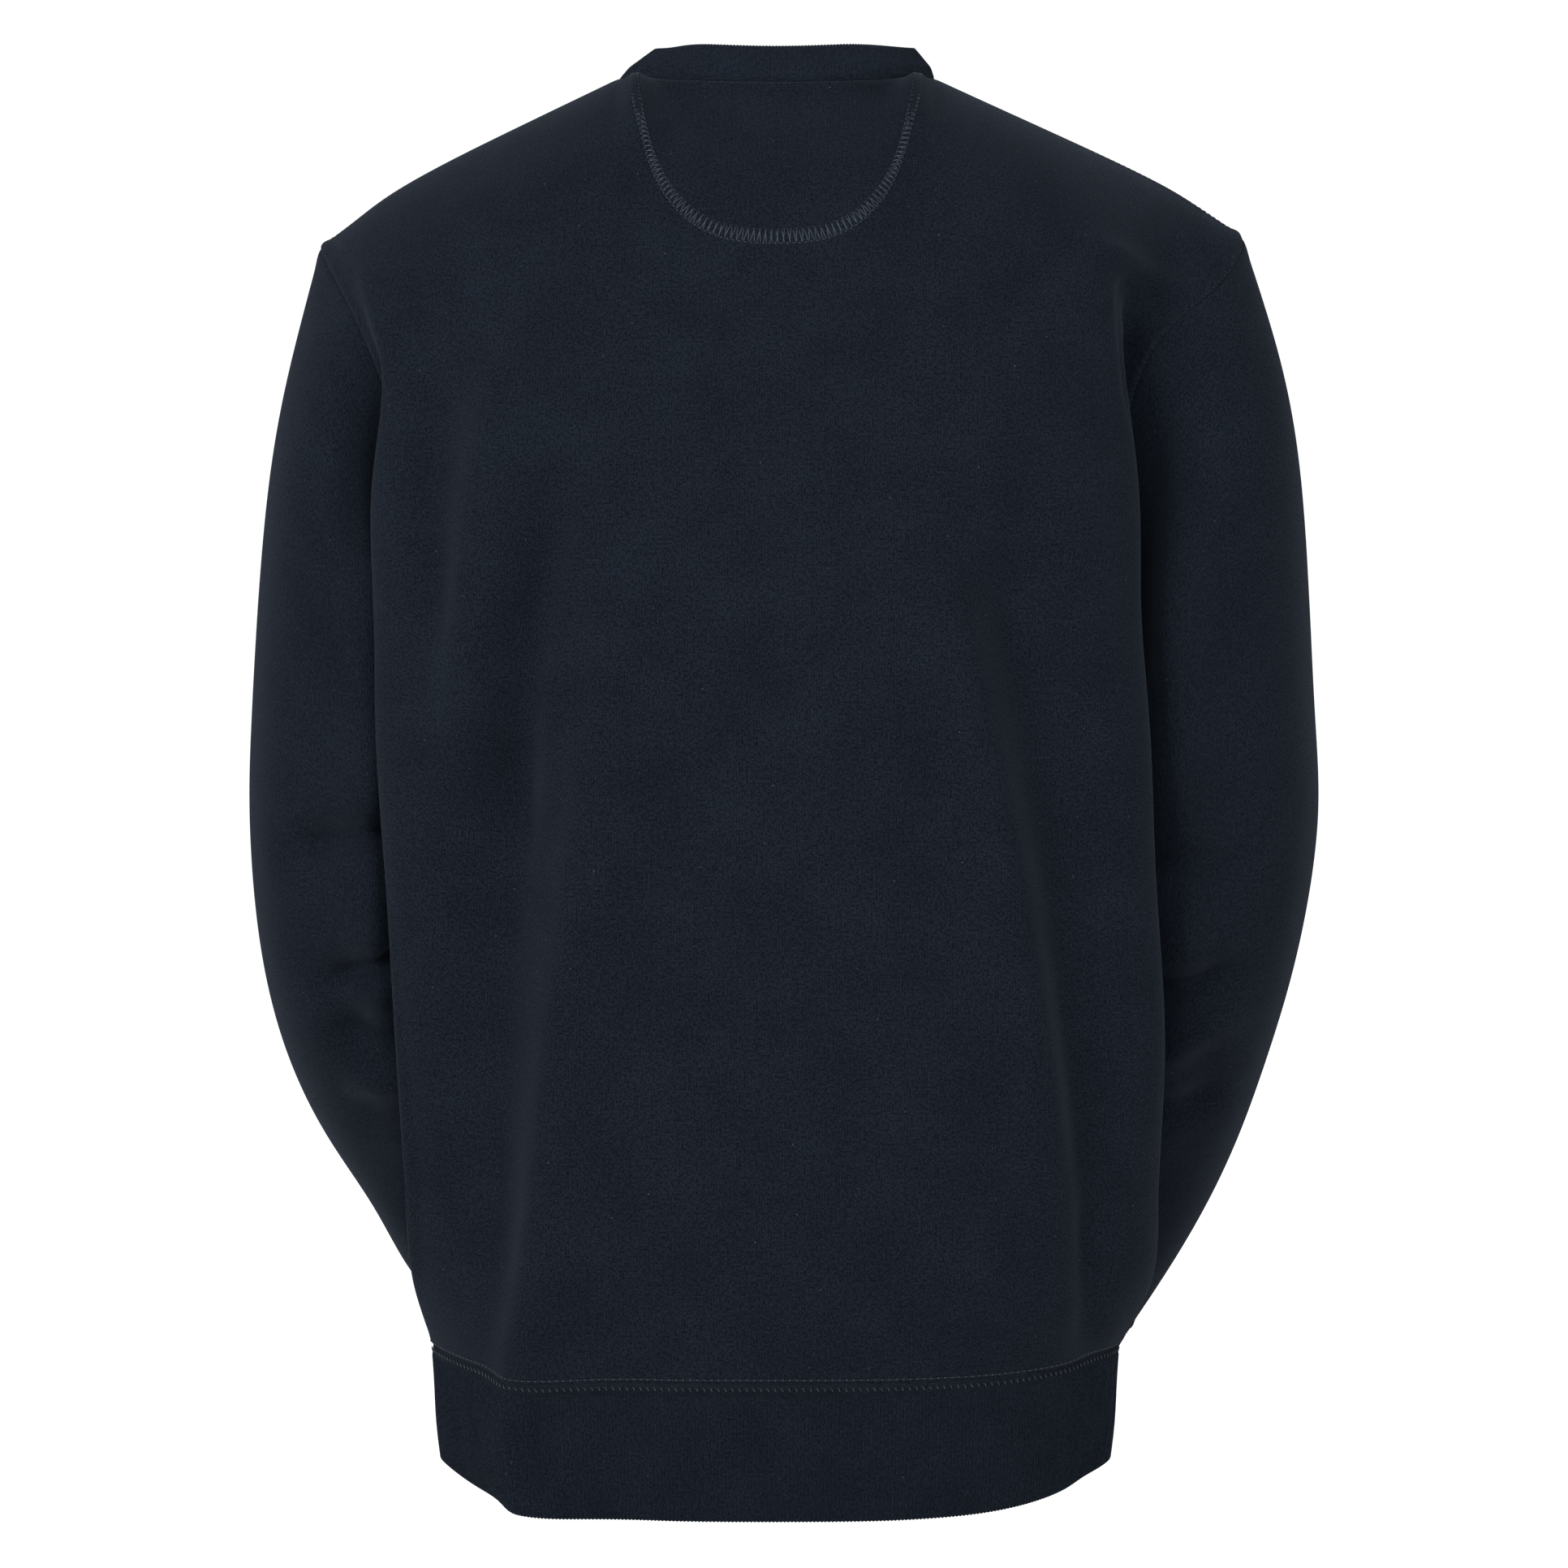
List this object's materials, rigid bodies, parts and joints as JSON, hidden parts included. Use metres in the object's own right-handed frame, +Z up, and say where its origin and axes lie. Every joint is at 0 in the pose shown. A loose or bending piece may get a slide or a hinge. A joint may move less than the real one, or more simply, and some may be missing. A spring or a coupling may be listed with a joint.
{
  "type": "crewneck sweatshirt",
  "caption": "Hollow, worn-shape crewneck sweatshirt in brushed fleece with a ribbed collar, cuffs and hem band and a half-moon facing at the back neck.",
  "frame": {"origin": "middle of the neck opening, level with the points where the shoulder seams meet the collar, where a wearer's shoulders hold the garment", "axes": "+Z up, the wearer faces -Y, +X is the wearer's left"},
  "size_m": [0.5574, 0.3477, 0.7432],
  "materials": {
    "fleece": "matte brushed cotton fleece, dark navy",
    "rib": "matte fine rib knit, dark navy",
    "facing": "matte cotton jersey, dark navy"
  },
  "bodies": {
    "root": {"back_panel": "fleece", "front_panel": "fleece", "sleeve_left": "fleece", "sleeve_right": "fleece", "neck_band": "rib", "hem_band": "rib", "cuff_left": "rib", "cuff_right": "rib", "neck_facing": "facing"}
  },
  "joints": []
}
